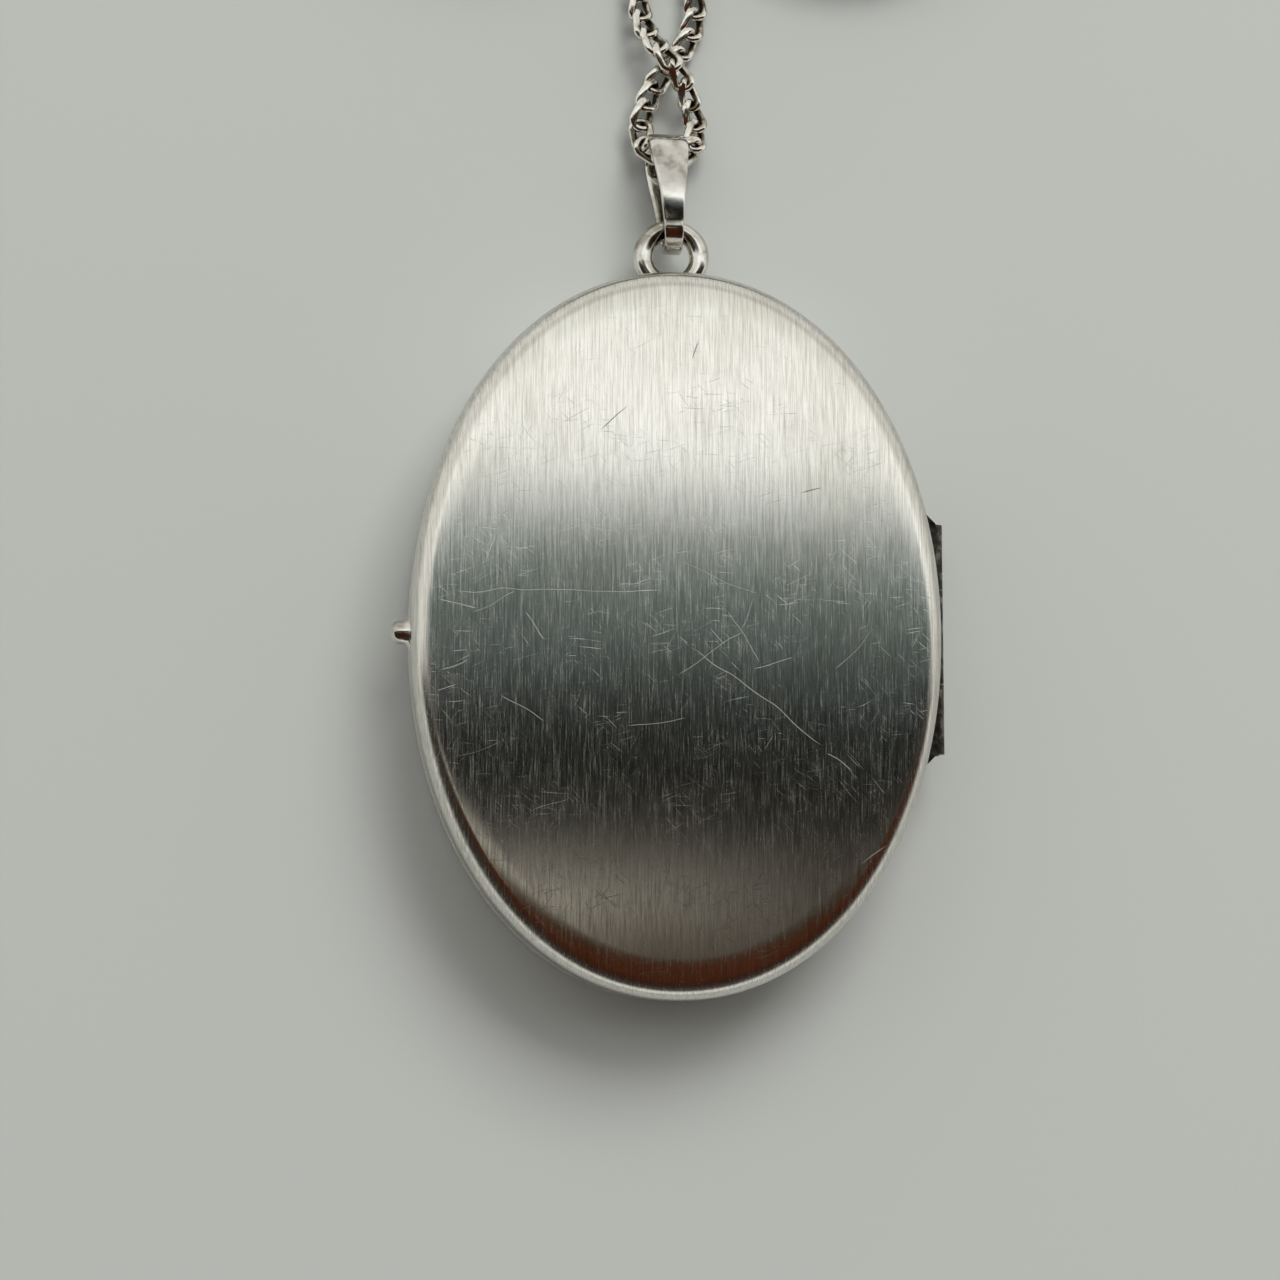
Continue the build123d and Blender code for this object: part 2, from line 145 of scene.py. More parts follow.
chain = {
    "linkLength": 2.25 * mm,
    "linkWidth": 1.6 * mm,
    "wire": 0.47 * mm,
    "pitch": 1.33 * mm,
    "twist": math.radians(85),  # curb links are twisted so that they all lie alike
    "roll": math.radians(30),
    "cutFlat": 0.5 * mm,  # the flats ground on both sides, from the middle
    "strandX": 1.5,  # this and the other sizes of the coils are in millimetres, as the routes are
    "coilOut": 9.9,
    "coilIn": 6.5,
    "coilY": 50.5,
    "lowerTurns": 0.65,  # height of the middle of the links
    "upperTurns": 1.9,
    "turnPoints": 14,
    "fineLinks": 11,  # links of each strand near the bail that are made finer
}

# joints between the links in the bail, and the strands' routes as in the frame's solids, in millimetres;
# here the strands start a link earlier, so that they hang in the last links of the bail
bightSide = [(0.62, 28.6, 1.62), (1.52, 29.3, 1.4), (1.64, 30.55, 1.1)]
underRoute = [
    (-1.64, 30.55, 1.1),
    (-1.32, 31.84, 0.95),
    (-1.05, 32.74, 0.72),
    (-0.35, 33.74, 0.66),
    (0.45, 34.64, 0.65),
    (1.2, 35.7, 0.66),
    (1.7, 37.15, 0.65),
    (1.72, 39.2, 0.66),
    (1.55, 42.0, 0.65),
    (1.5, 45.0, 0.65),
]
overRoute = [
    (1.64, 30.55, 1.1),
    (1.32, 31.84, 0.95),
    (1.12, 32.64, 1.5),
    (0.5, 33.64, 2.02),
    (-0.35, 34.64, 2.06),
    (-1.15, 35.7, 1.55),
    (-1.65, 37.15, 0.85),
    (-1.72, 39.2, 0.66),
    (-1.56, 42.0, 0.67),
    (-1.5, 45.0, 0.65),
]
tailLeft = [(-1.52, 53.2, 1.9), (-1.7, 55.6, 1.75), (-2.3, 57.2, 1.1), (-3.0, 58.9, 0.64)]
tailRight = [(1.52, 53.2, 1.9), (1.65, 55.6, 1.75), (2.05, 57.2, 1.1), (2.45, 59.2, 0.55)]


def coilTurns(side):
    # two turns inwards on the floor, then two turns outwards on top of them
    points = []
    count = 4 * chain["turnPoints"]
    centreX = side * (chain["strandX"] + chain["coilOut"])
    for i in range(1, count + 1):
        turned = i / chain["turnPoints"]
        inwards = turned if turned <= 2 else 4 - turned
        radius = chain["coilOut"] - inwards / 2 * (chain["coilOut"] - chain["coilIn"])
        climbed = min(max((turned - 1.9) / 0.25, 0), 1)
        rise = chain["lowerTurns"] + (chain["upperTurns"] - chain["lowerTurns"]) * climbed
        angle = 2 * math.pi * turned
        points.append((
            centreX - side * radius * math.cos(angle),
            chain["coilY"] + radius * math.sin(angle),
            rise,
        ))
    return points


def routeCurve(name, route):
    curve = bpy.data.curves.new(name, "CURVE")
    curve.dimensions = "3D"
    curve.resolution_u = 12
    spline = curve.splines.new("NURBS")
    spline.points.add(len(route) - 1)
    for point, place in zip(spline.points, route):
        point.co = (place[0] * mm, place[1] * mm, place[2] * mm, 1)
    spline.order_u = 3
    spline.use_endpoint_u = True
    carrier = bpy.data.objects.new(name, curve)
    bpy.context.scene.collection.objects.link(carrier)
    bpy.context.view_layer.update()
    line = bpy.data.meshes.new_from_object(carrier)
    places = [vertex.co.copy() for vertex in line.vertices]
    bpy.data.objects.remove(carrier)
    return places


def makeLink(segments, wireSides):
    # one curb link: a ring of wire drawn out to an oval, twisted and ground flat on two sides
    deselect()
    bend = (chain["linkWidth"] - chain["wire"]) / 2
    stretch = (chain["linkLength"] - chain["linkWidth"]) / 2
    bpy.ops.mesh.primitive_torus_add(
        major_segments=segments, minor_segments=wireSides,
        major_radius=bend, minor_radius=chain["wire"] / 2)
    link = bpy.context.object
    # how far each point lies into the link's hole; the chain's material darkens it there, as tarnish and as
    # painted shade where the links shade each other
    recess = link.data.attributes.new("recess", "FLOAT", "POINT")
    for vertex in link.data.vertices:
        inward = (bend - vertex.co.xy.length) / (chain["wire"] / 2)
        recess.data[vertex.index].value = max(0, min(1, inward))
        if abs(vertex.co.x) > 1e-7:
            vertex.co.x += math.copysign(stretch, vertex.co.x)
        turn = chain["roll"] + chain["twist"] * vertex.co.x / chain["linkLength"]
        vertex.co = Matrix.Rotation(turn, 3, "X") @ vertex.co
        vertex.co.z = max(-chain["cutFlat"], min(chain["cutFlat"], vertex.co.z))
    bpy.ops.object.shade_smooth_by_angle(angle=math.radians(40))
    return link


def linkFrame(start, end):
    along = (end - start).normalized()
    side = Vector((0, 0, 1)).cross(along).normalized()
    turn = Matrix((along, side, along.cross(side))).transposed()
    return Matrix.Translation((start + end) / 2) @ turn.to_4x4()


def joinLinks(name, joints, fineLink, plainLink, fineCount):
    copies = []
    for i, (start, end) in enumerate(zip(joints, joints[1:])):
        copy = (fineLink if i < fineCount else plainLink).copy()
        copy.data = copy.data.copy()
        copy.data.transform(linkFrame(start, end))
        bpy.context.scene.collection.objects.link(copy)
        copies.append(copy)
    deselect()
    for copy in copies:
        copy.select_set(True)
    bpy.context.view_layer.objects.active = copies[0]
    bpy.ops.object.join()
    piece = bpy.context.object
    piece.name = name
    piece.data.name = name
    return piece


def evenJoints(places, pitch):
    # the joints between links, one pitch apart along the route
    lengths = [0.0]
    for a, b in zip(places, places[1:]):
        lengths.append(lengths[-1] + (b - a).length)
    count = round(lengths[-1] / pitch)
    joints = []
    run = 0
    for i in range(count + 1):
        reach = lengths[-1] * i / count
        while run < len(places) - 2 and lengths[run + 1] < reach:
            run += 1
        part = (reach - lengths[run]) / max(lengths[run + 1] - lengths[run], 1e-9)
        joints.append(places[run].lerp(places[run + 1], part))
    return joints, lengths[-1]


def makeChain():
    fineLink = makeLink(26, 10)
    plainLink = makeLink(12, 5)
    strands = []
    for name, route in (
        ("chain_links_right", underRoute + coilTurns(1) + tailRight),
        ("chain_links_left", overRoute + coilTurns(-1) + tailLeft),
    ):
        places = routeCurve(name, route)
        joints, length = evenJoints(places, chain["pitch"])
        strand = joinLinks(name, joints, fineLink, plainLink, chain["fineLinks"])
        strands.append((strand, places, length))
        print(name, len(joints) - 1, "links", round(length / mm, 1), "mm")
    bight = [(-x, y, z) for x, y, z in reversed(bightSide)] + bightSide
    joinLinks("bail_chain_links", [Vector(p) * mm for p in bight], fineLink, plainLink, len(bight))
    bpy.data.objects.remove(fineLink)
    bpy.data.objects.remove(plainLink)
    return strands


(strandRight, pathRight, lengthRight), (strandLeft, pathLeft, lengthLeft) = makeChain()
bightLinks = bpy.data.objects["bail_chain_links"]
for piece in (strandRight, strandLeft, bightLinks):
    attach(piece, "chain")
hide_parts("bail_links")
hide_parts("chain_strand_left", "chain_coil_right", "chain_tail_right")
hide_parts("chain_strand_right", "chain_coil_left", "chain_tail_left")
print("chain made")


# covers

cover = {
    "segments": 160,
    "sheet": 0.5 * mm,
    "shoulder": 1.2 * mm,
    "backCrown": 0.5 * mm,
    "shoulderSteps": 9,
    "faceSteps": 16,
    "poleSize": 0.015,  # the last ring's size as a share of the face's
    "fullness": 2.07,  # 2 is a plain ellipse
    "soften": 0.1 * mm,  # the rim's edges are rubbed a little round
    "mapSize": 0.06,  # metres that the plan map covers
}


def ovalStack(name, rings, segments):
    # rings are (half width, half length, height), and the first and the last are left open
    deselect()
    bpy.ops.mesh.primitive_circle_add(vertices=segments, radius=1, fill_type="NOTHING")
    piece = bpy.context.object
    piece.name = name
    piece.data.name = name
    width, length, height = rings[0]
    piece.scale = (width, length, 1)
    piece.location = (0, 0, height)
    settle(piece)
    bpy.ops.object.mode_set(mode="EDIT")
    bpy.ops.mesh.select_all(action="SELECT")
    for nextWidth, nextLength, nextHeight in rings[1:]:
        bpy.ops.mesh.extrude_edges_move(TRANSFORM_OT_translate={"value": (0, 0, nextHeight - height)})
        bpy.ops.transform.resize(
            value=(nextWidth / width, nextLength / length, 1), center_override=(0, 0, nextHeight))
        width, length, height = nextWidth, nextLength, nextHeight
    bpy.ops.object.mode_set(mode="OBJECT")
    return piece


def closeEnds(piece):
    # the small rings left in the middle of a cover's two faces become poles
    pick(piece)
    bpy.ops.object.mode_set(mode="EDIT")
    bpy.ops.mesh.select_all(action="DESELECT")
    bpy.ops.mesh.select_non_manifold(extend=False, use_boundary=True)
    bpy.ops.mesh.edge_face_add()
    bpy.ops.mesh.select_all(action="SELECT")
    bpy.ops.mesh.fill_holes(sides=0)
    bpy.ops.mesh.normals_make_consistent(inside=False)
    bpy.ops.object.mode_set(mode="OBJECT")


def coverSurface(halfWidth, halfLength, depth, shoulder, crown):
    # rings up the wall, over the shoulder and in to the middle
    steps = cover["shoulderSteps"]
    slope = 2 * crown / halfWidth
    topInset = shoulder * (1 - math.sin(slope))
    across = 1 - topInset / halfWidth
    shoulderTop = depth + crown * (1 - across ** 2)
    centre = shoulderTop - shoulder * math.cos(slope)
    rings = []
    for i in range(steps + 1):
        angle = (math.pi / 2 - slope) * i / steps
        inset = shoulder * (1 - math.cos(angle))
        rings.append((halfWidth - inset, halfLength - inset, centre + shoulder * math.sin(angle)))
    endWidth, endLength = rings[-1][:2]
    for i in range(1, cover["faceSteps"] + 1):
        share = 1 - i / cover["faceSteps"] * (1 - cover["poleSize"])
        height = depth + crown * (1 - (across * share) ** 2)
        rings.append((endWidth * share, endLength * share, height))
    return rings


def fillOut(piece, halfWidth, halfLength):
    # makes an ellipse a little fuller towards its four quarters
    power = cover["fullness"]
    for vertex in piece.data.vertices:
        x, y = vertex.co.x / halfWidth, vertex.co.y / halfLength
        size = math.hypot(x, y)
        if size > 1e-6:
            fuller = ((abs(x) / size) ** power + (abs(y) / size) ** power) ** (-1 / power)
            vertex.co.x *= fuller
            vertex.co.y *= fuller


def planUv(piece):
    # one map seen from above, so that the brushing runs straight along the cover
    layer = piece.data.uv_layers.get("plan") or piece.data.uv_layers.new(name="plan")
    for loop in piece.data.loops:
        place = piece.data.vertices[loop.vertex_index].co
        layer.data[loop.index].uv = (place.x / cover["mapSize"] + 0.5, place.y / cover["mapSize"] + 0.5)


def makeCover(name, node, crown, faceUp):
    low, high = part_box(node)
    halfWidth, halfLength = high.x, high.y
    depth = (high.z - low.z) - crown
    sheet, shoulder = cover["sheet"], cover["shoulder"]
    outside = coverSurface(halfWidth, halfLength, depth, shoulder, crown)
    inside = coverSurface(halfWidth - sheet, halfLength - sheet, depth - sheet, shoulder - sheet, crown)
    soften = cover["soften"]
    rim = [
        (halfWidth - sheet, halfLength - sheet, soften),
        (halfWidth - sheet + soften, halfLength - sheet + soften, 0),
        (halfWidth - soften, halfLength - soften, 0),
        (halfWidth, halfLength, soften),
    ]
    rings = list(reversed(inside)) + rim + outside
    base = low.z if faceUp else high.z
    rings = [(width, length, base + height if faceUp else base - height) for width, length, height in rings]
    piece = ovalStack(name, rings, cover["segments"])
    closeEnds(piece)
    fillOut(piece, halfWidth, halfLength)
    pick(piece)
    bpy.ops.object.shade_smooth_by_angle(angle=math.radians(50))
    planUv(piece)
    return piece


backCover = makeCover("back_cover_brushed", "back_shell", cover["backCrown"], True)
frontCover = makeCover("front_cover_brushed", "front_shell", 0, False)
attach(backCover, "back_half")
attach(frontCover, "front_half")
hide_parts("back_shell")
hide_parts("front_shell")
print("covers made")


# bail

bailStrip = {
    "steps": 96,
    "sides": 20,
    "foot": 23.95 * mm,  # middle of the small loop, on the case's ring
    "height": 2.4 * mm,
    "smallRadius": 1.05 * mm,
    "bulge": 0.36 * mm,  # the front of the strip is a little rounded along its length
    "bigRadius": 1.25 * mm,
    "run": 4.3 * mm,  # from the one loop's middle to the other's
    "strip": 0.4 * mm,
    "drop": 0.73 * mm,
    "aside": -0.16 * mm,  # its top hangs a little to one side
    # distance along it from the foot and half width there, in millimetres
    "widths": [(-1.3, 0.54), (0, 0.58), (1.8, 0.76), (3.4, 1.0), (4.4, 1.11), (6.1, 1.15)],
    "rounding": 4.5,  # 2 is an oval section, and more is squarer
}


def bailPath(share):
    # a point half way through the strip and the direction outwards there, from the small loop's end
    small = bailStrip["smallRadius"] + bailStrip["strip"] / 2
    big = bailStrip["bigRadius"] + bailStrip["strip"] / 2
    run = bailStrip["run"]
    flare = math.asin((big - small) / run)
    straight = math.sqrt(run ** 2 - (big - small) ** 2)
    aroundSmall = small * (math.pi - 2 * flare)
    aroundBig = big * (math.pi + 2 * flare)
    reach = share * (aroundSmall + aroundBig + 2 * straight)
    if reach < straight or reach >= straight + aroundBig + straight + aroundSmall:
        angle, place = math.pi / 2 + flare, reach
    elif reach < straight + aroundBig:
        angle, place = math.pi / 2 + flare - (reach - straight) / big, straight
    elif reach < 2 * straight + aroundBig:
        angle, place = -math.pi / 2 - flare, straight - (reach - straight - aroundBig)
    else:
        angle, place = -math.pi / 2 - flare - (reach - 2 * straight - aroundBig) / small, 0
    out = Vector((math.cos(angle), math.sin(angle)))
    gone = place / straight
    centre = Vector((run * gone, 0))
    bulge = bailStrip["bulge"] * math.sin(math.pi * gone) if out.y > 0 else 0
    return centre + out * (small + (big - small) * gone + bulge), out


def bailHalfWidth(along):
    widths = bailStrip["widths"]
    for (a, wa), (b, wb) in zip(widths, widths[1:]):
        if along / mm <= b:
            part = max(0, min(1, (along / mm - a) / (b - a)))
            return (wa + (wb - wa) * part) * mm
    return widths[-1][1] * mm


def makeBail():
    deselect()
    steps, sides = bailStrip["steps"], bailStrip["sides"]
    tube = 0.25  # the torus is only a closed net of points, which the strip's shape then takes up
    bpy.ops.mesh.primitive_torus_add(
        major_segments=steps, minor_segments=sides, major_radius=1, minor_radius=tube)
    piece = bpy.context.object
    piece.name = "bail_folded_strip"
    lean = math.asin(bailStrip["drop"] / bailStrip["run"])
    along = Vector((0, math.cos(lean), -math.sin(lean)))
    up = Vector((0, math.sin(lean), math.cos(lean)))
    foot = Vector((0, bailStrip["foot"], bailStrip["height"]))
    power = 2 / bailStrip["rounding"]
    for vertex in piece.data.vertices:
        share = (math.atan2(vertex.co.y, vertex.co.x) / (2 * math.pi)) % 1
        across = (vertex.co.xy.length - 1) / tube
        side = vertex.co.z / tube
        point, out = bailPath(share)
        point = point + out * math.copysign(abs(across) ** power, across) * bailStrip["strip"] / 2
        width = bailHalfWidth(point.x) * math.copysign(abs(side) ** power, side)
        aside = bailStrip["aside"] * point.x / bailStrip["run"]
        vertex.co = foot + along * point.x + up * point.y + Vector((width + aside, 0, 0))
    bpy.ops.object.mode_set(mode="EDIT")
    bpy.ops.mesh.select_all(action="SELECT")
    bpy.ops.mesh.normals_make_consistent(inside=False)
    bpy.ops.object.mode_set(mode="OBJECT")
    bpy.ops.object.shade_smooth_by_angle(angle=math.radians(50))
    return piece


bail = makeBail()
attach(bail, "chain")
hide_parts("bail")


# thumb nib

nib = {
    "segments": 36,
    "y": -0.1 * mm,
    "z": 3.96 * mm,
    "wall": 15.1 * mm,  # the case's side
    # distance from the wall, half height and half length along the seam, in millimetres
    "rings": [
        (-0.3, 0.6, 1.15), (0.0, 0.6, 1.05), (0.08, 0.57, 0.86), (0.2, 0.56, 0.73), (0.38, 0.58, 0.68),
        (0.58, 0.6, 0.68), (0.78, 0.57, 0.62), (0.93, 0.47, 0.5), (1.02, 0.29, 0.32), (1.05, 0.08, 0.1),
    ],
}


def makeNib():
    rings = [(height * mm, length * mm, out * mm) for out, height, length in nib["rings"]]
    piece = ovalStack("thumb_nib_bud", rings, nib["segments"])
    closeEnds(piece)
    piece.rotation_euler = (0, -math.pi / 2, 0)
    piece.location = (-nib["wall"], nib["y"], nib["z"])
    settle(piece)
    bpy.ops.object.shade_smooth_by_angle(angle=math.radians(50))
    return piece


thumbNib = makeNib()
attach(thumbNib, "back_half")
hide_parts("thumb_nib")
print("bail and nib made")


# materials

# handling marks on the back cover: middle x and y, half length, angle in degrees, half width in millimetres
scratches = [
    (-7.0, 2.0, 6.1, 0.5, 0.03), (4.3, -3.7, 4.8, -35, 0.035), (7.4, 7.9, 0.75, 14, 0.06),
    (0.9, 15.9, 0.7, 62, 0.07), (-12.7, 1.2, 1.1, -12, 0.05), (-10.6, 1.3, 1.4, 24, 0.03),
    (-8.3, 0.2, 1.0, -48, 0.04), (1.6, -1.4, 2.2, 31, 0.025), (3.4, -0.4, 1.7, -58, 0.025),
    (5.2, -1.9, 1.3, 12, 0.03), (9.8, -1.0, 1.6, 48, 0.025), (-3.8, 11.8, 1.2, 40, 0.04),
    (2.1, 2.9, 2.4, -22, 0.02), (-9.0, -4.6, 1.5, -24, 0.025), (10.8, -12.4, 1.1, 35, 0.05),
    (3.7, 0.9, 1.1, 68, 0.03), (-1.4, -5.1, 1.8, 8, 0.02), (8.9, -7.4, 0.9, -40, 0.03),
]


def scratchMask(tree, place):
    # each scratch is a long thin spot that wanders a little; where two marks cross, the stronger one shows
    wander = addNode(tree, "ShaderNodeTexNoise", {"Scale": 260.0, "Detail": 1.0}, {"Vector": place})
    shift = addNode(tree, "ShaderNodeVectorMath", {1: (0.5, 0.5, 0.5)}, {0: wander.outputs["Color"]},
                    operation="SUBTRACT")
    shift = addNode(tree, "ShaderNodeVectorMath", {"Scale": 0.0011}, {0: shift}, operation="SCALE")
    moved = addNode(tree, "ShaderNodeVectorMath", wires={0: place, 1: shift}, operation="ADD")
    total = None
    for x, y, half, angle, width in scratches:
        # the back face is some 7 mm up, and the spot is deep enough for its crown
        ownPlace = addNode(tree, "ShaderNodeMapping", {
            "Location": (x * mm, y * mm, 7 * mm), "Rotation": (0, 0, math.radians(angle)),
            "Scale": (half * mm, width * 0.7 * mm, 4 * mm)}, {"Vector": moved}, vector_type="TEXTURE")
        spot = addNode(tree, "ShaderNodeTexGradient", wires={"Vector": ownPlace}, gradient_type="SPHERICAL")
        spot = spot.outputs["Fac"]
        total = spot if total is None else addNode(
            tree, "ShaderNodeMath", wires={0: total, 1: spot}, operation="MAXIMUM").outputs[0]
    # many faint short hairlines, in patches and in five directions
    patches = addNode(tree, "ShaderNodeTexNoise", {"Scale": 330.0, "Detail": 2.0}, {"Vector": place})
    patches = addNode(tree, "ShaderNodeMapRange", {"From Min": 0.36, "From Max": 0.62, "To Max": 0.13},
                      {"Value": patches})
    for angle, reach in ((0.35, 50), (-0.8, 30), (1.1, 42), (2.4, 22), (0.0, 30)):
        turned = addNode(tree, "ShaderNodeMapping", {"Rotation": (0, 0, angle), "Scale": (reach, 1, 4)},
                         {"Vector": moved}, vector_type="TEXTURE")
        hair = addNode(tree, "ShaderNodeTexNoise", {"Scale": 18000.0, "Detail": 0.0}, {"Vector": turned})
        kept = addNode(tree, "ShaderNodeMapRange", {"From Min": 0.76, "From Max": 0.86}, {"Value": hair})
        kept = addNode(tree, "ShaderNodeMath", wires={0: kept, 1: patches}, operation="MULTIPLY")
        total = addNode(tree, "ShaderNodeMath", wires={0: total, 1: kept}, operation="MAXIMUM").outputs[0]
    return addNode(tree, "ShaderNodeMath", {1: 2.2}, {0: total}, operation="MULTIPLY", use_clamp=True)


def brushedSterling():
    # sterling sheet, satin brushed lengthwise: lights spread across the lines and stay crisp along them
    material, tree, shader = newMaterial(
        "brushed sterling silver", Metallic=1.0, Roughness=0.2, Anisotropic=0.94)
    place = addNode(tree, "ShaderNodeTexCoord").outputs["Object"]
    tangent = addNode(tree, "ShaderNodeTangent", direction_type="UV_MAP", uv_map="plan")
    tree.links.new(tangent.outputs[0], shader.inputs["Tangent"])
    # brush lines some 0.1 mm apart and 3 mm long, and finer cuts between them that scatter more light
    lengthwise = addNode(tree, "ShaderNodeMapping", {"Scale": (1, 0.03, 0.3)}, {"Vector": place})
    lines = addNode(tree, "ShaderNodeTexNoise", {"Scale": 12000.0, "Detail": 4.0, "Roughness": 0.7},
                    {"Vector": lengthwise})
    cuts = addNode(tree, "ShaderNodeMapping", {"Scale": (1, 0.035, 0.3), "Location": (0.3, 0, 0)},
                   {"Vector": place})
    cuts = addNode(tree, "ShaderNodeTexNoise", {"Scale": 16000.0, "Detail": 3.0, "Roughness": 0.75},
                   {"Vector": cuts})
    haze = addNode(tree, "ShaderNodeTexNoise", {"Scale": 160.0, "Detail": 5.0, "Roughness": 0.6},
                   {"Vector": place})
    marks = scratchMask(tree, place)
    colour = colourRamp(tree, haze, [(0.3, "#E0DDD4"), (0.55, "#EBE9E3"), (0.8, "#EFEDE8")])
    tint = colourRamp(tree, lines, [(0.3, "#9C9B98"), (0.6, "#FFFFFF")])
    shade = addNode(tree, "ShaderNodeMix", {"Factor": 0.55}, {"A": colour, "B": tint}, data_type="RGBA",
                    blend_type="MULTIPLY")
    tree.links.new(shade.outputs["Result"], shader.inputs["Base Color"])
    rough = addNode(tree, "ShaderNodeMapRange", {
        "From Min": 0.46, "From Max": 0.74, "To Min": 0.14, "To Max": 0.33}, {"Value": cuts})
    rough = addNode(tree, "ShaderNodeMix", {"B": 0.62}, {"Factor": marks, "A": rough})
    tree.links.new(rough.outputs["Result"], shader.inputs["Roughness"])
    relief = addNode(tree, "ShaderNodeMath", {1: -1.5}, {0: marks, 2: lines}, operation="MULTIPLY_ADD")
    bump = addNode(tree, "ShaderNodeBump", {"Strength": 0.22, "Distance": 0.00001}, {"Height": relief})
    tree.links.new(bump.outputs[0], shader.inputs["Normal"])
    return material


def polishedSterling():
    # polished silver with a faint warm tarnish, worn a little uneven
    material, tree, shader = newMaterial("polished sterling silver", Metallic=1.0, Roughness=0.1)
    place = addNode(tree, "ShaderNodeTexCoord").outputs["Object"]
    cloud = addNode(tree, "ShaderNodeTexNoise", {"Scale": 900.0, "Detail": 4.0}, {"Vector": place})
    colour = colourRamp(tree, cloud, [(0.36, "#A39E94"), (0.5, "#D9D6CF"), (0.66, "#EAE8E4")])
    tree.links.new(colour.outputs[0], shader.inputs["Base Color"])
    grain = addNode(tree, "ShaderNodeTexNoise", {"Scale": 5000.0, "Detail": 3.0}, {"Vector": place})
    rough = addNode(tree, "ShaderNodeMapRange", {"To Min": 0.07, "To Max": 0.16}, {"Value": grain})
    tree.links.new(rough.outputs[0], shader.inputs["Roughness"])
    bump = addNode(tree, "ShaderNodeBump", {"Strength": 0.35, "Distance": 0.00003}, {"Height": cloud})
    tree.links.new(bump.outputs[0], shader.inputs["Normal"])
    return material


def tarnishAndDarkReflectionSterling():
    # silver that was never polished again, blotched from grey to near black: tarnish, with its dark tones
    # also painted dark reflection
    material, tree, shader = newMaterial("sterling silver, tarnish and painted dark reflection", Metallic=1.0, Roughness=0.28)
    place = addNode(tree, "ShaderNodeTexCoord").outputs["Object"]
    cloud = addNode(tree, "ShaderNodeTexNoise", {"Scale": 1100.0, "Detail": 5.0, "Roughness": 0.6},
                    {"Vector": place})
    # the dark stops are painted dark reflection as well as tarnish
    colour = colourRamp(tree, cloud, [(0.34, "#1E1B17"), (0.5, "#45413A"), (0.7, "#96928A")])
    tree.links.new(colour.outputs[0], shader.inputs["Base Color"])
    rough = addNode(tree, "ShaderNodeMapRange", {"To Min": 0.42, "To Max": 0.16}, {"Value": cloud})
    tree.links.new(rough.outputs[0], shader.inputs["Roughness"])
    return material


def chainSterling():
    # bright-cut curb links, with dark tarnish and painted shade inside the links' holes
    material, tree, shader = newMaterial("bright cut chain silver", Metallic=1.0, Roughness=0.16)
    recess = addNode(tree, "ShaderNodeAttribute", attribute_name="recess")
    place = addNode(tree, "ShaderNodeTexCoord").outputs["Object"]
    cloud = addNode(tree, "ShaderNodeTexNoise", {"Scale": 1600.0, "Detail": 3.0}, {"Vector": place})
    # painted shade and tarnish: darker the further a point lies into a link's hole, with a noise cloud over
    # it
    tarnishAndShade = addNode(tree, "ShaderNodeMath", {1: 0.5}, {0: recess.outputs["Fac"], 2: cloud},
                     operation="MULTIPLY_ADD")
    colour = colourRamp(tree, tarnishAndShade, [
        (0.5, "#F0EDE6"), (0.66, "#C4BCAC"), (0.8, "#6E6656"), (0.95, "#2C2820")])
    tree.links.new(colour.outputs[0], shader.inputs["Base Color"])
    rough = addNode(tree, "ShaderNodeMapRange", {"To Min": 0.12, "To Max": 0.34},
                    {"Value": recess.outputs["Fac"]})
    tree.links.new(rough.outputs[0], shader.inputs["Roughness"])
    bump = addNode(tree, "ShaderNodeBump", {"Strength": 0.2, "Distance": 0.00003}, {"Height": cloud})
    tree.links.new(bump.outputs[0], shader.inputs["Normal"])
    return material


def clearAcetate():
    # cut acetate sheet: clear, glossy, faintly hazed by handling
    material, tree, shader = newMaterial("clear acetate sheet", Roughness=0.08, IOR=1.48, Alpha=0.16)
    shader.inputs["Base Color"].default_value = linear("#F2F5F4")
    place = addNode(tree, "ShaderNodeTexCoord").outputs["Object"]
    haze = addNode(tree, "ShaderNodeTexNoise", {"Scale": 300.0, "Detail": 4.0}, {"Vector": place})
    rough = addNode(tree, "ShaderNodeMapRange", {"To Min": 0.04, "To Max": 0.16}, {"Value": haze})
    tree.links.new(rough.outputs[0], shader.inputs["Roughness"])
    flat = addNode(tree, "ShaderNodeNewGeometry").outputs["True Normal"]
    tree.links.new(flat, shader.inputs["Normal"])
    return material


def creamCard():
    # thin cream card with a soft fibre grain
    material, tree, shader = newMaterial("cream picture card", Roughness=0.85)
    place = addNode(tree, "ShaderNodeTexCoord").outputs["Object"]
    fibre = addNode(tree, "ShaderNodeTexNoise", {"Scale": 2600.0, "Detail": 6.0, "Roughness": 0.7},
                    {"Vector": place})
    colour = colourRamp(tree, fibre, [(0.3, "#D9CFB8"), (0.7, "#E8E0CC")])
    tree.links.new(colour.outputs[0], shader.inputs["Base Color"])
    flat = addNode(tree, "ShaderNodeNewGeometry").outputs["True Normal"]
    bump = addNode(tree, "ShaderNodeBump", {"Strength": 0.3, "Distance": 0.00003},
                   {"Height": fibre, "Normal": flat})
    tree.links.new(bump.outputs[0], shader.inputs["Normal"])
    return material


